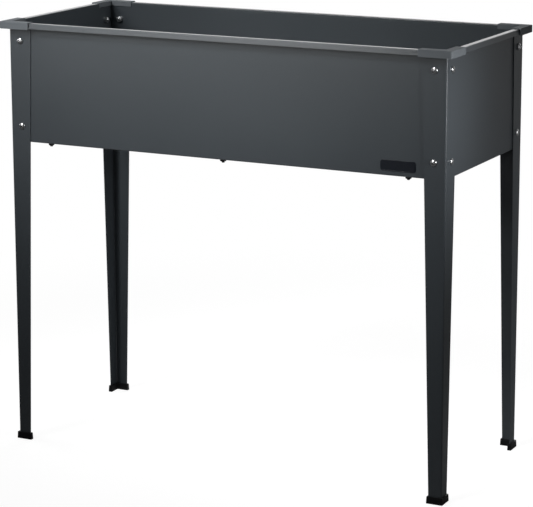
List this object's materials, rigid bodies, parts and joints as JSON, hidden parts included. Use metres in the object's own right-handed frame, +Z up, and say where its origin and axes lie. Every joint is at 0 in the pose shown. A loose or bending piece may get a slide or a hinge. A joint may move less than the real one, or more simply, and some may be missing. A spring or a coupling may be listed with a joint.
{
  "type": "raised garden bed",
  "caption": "Rectangular open-topped planting trough of folded dark steel, bolted to tall tapering angle legs with moulded feet and rim corner caps",
  "frame": {"origin": "on the ground, under the centre of the bed", "axes": "+X runs along the bed to the right as seen from the front, +Y from the front to the rear, +Z up"},
  "size_m": [0.8958, 0.3898, 0.8],
  "materials": {
    "powder_coat": "fine-textured semi-matt anthracite powder coat",
    "cap_plastic": "matt grey moulded plastic",
    "foot_plastic": "matt black moulded plastic",
    "zinc_plate": "bright zinc plate",
    "black_steel": "black oxide on steel"
  },
  "bodies": {
    "root": {"floor_sheet": "powder_coat", "front_wall": "powder_coat", "right_wall": "powder_coat", "rear_wall": "powder_coat", "left_wall": "powder_coat", "leg_front_left": "powder_coat", "leg_front_right": "powder_coat", "leg_rear_right": "powder_coat", "leg_rear_left": "powder_coat", "foot_front_left": "foot_plastic", "foot_front_right": "foot_plastic", "foot_rear_right": "foot_plastic", "foot_rear_left": "foot_plastic", "corner_cap_front_left": "cap_plastic", "corner_cap_front_right": "cap_plastic", "corner_cap_rear_right": "cap_plastic", "corner_cap_rear_left": "cap_plastic", "front_wall_bolts": "zinc_plate", "front_wall_nuts": "zinc_plate", "right_wall_bolts": "zinc_plate", "right_wall_nuts": "zinc_plate", "rear_wall_bolts": "zinc_plate", "rear_wall_nuts": "zinc_plate", "left_wall_bolts": "zinc_plate", "left_wall_nuts": "zinc_plate", "front_floor_bolts": "black_steel", "front_floor_nuts": "black_steel", "rear_floor_bolts": "black_steel", "rear_floor_nuts": "black_steel"}
  },
  "joints": []
}
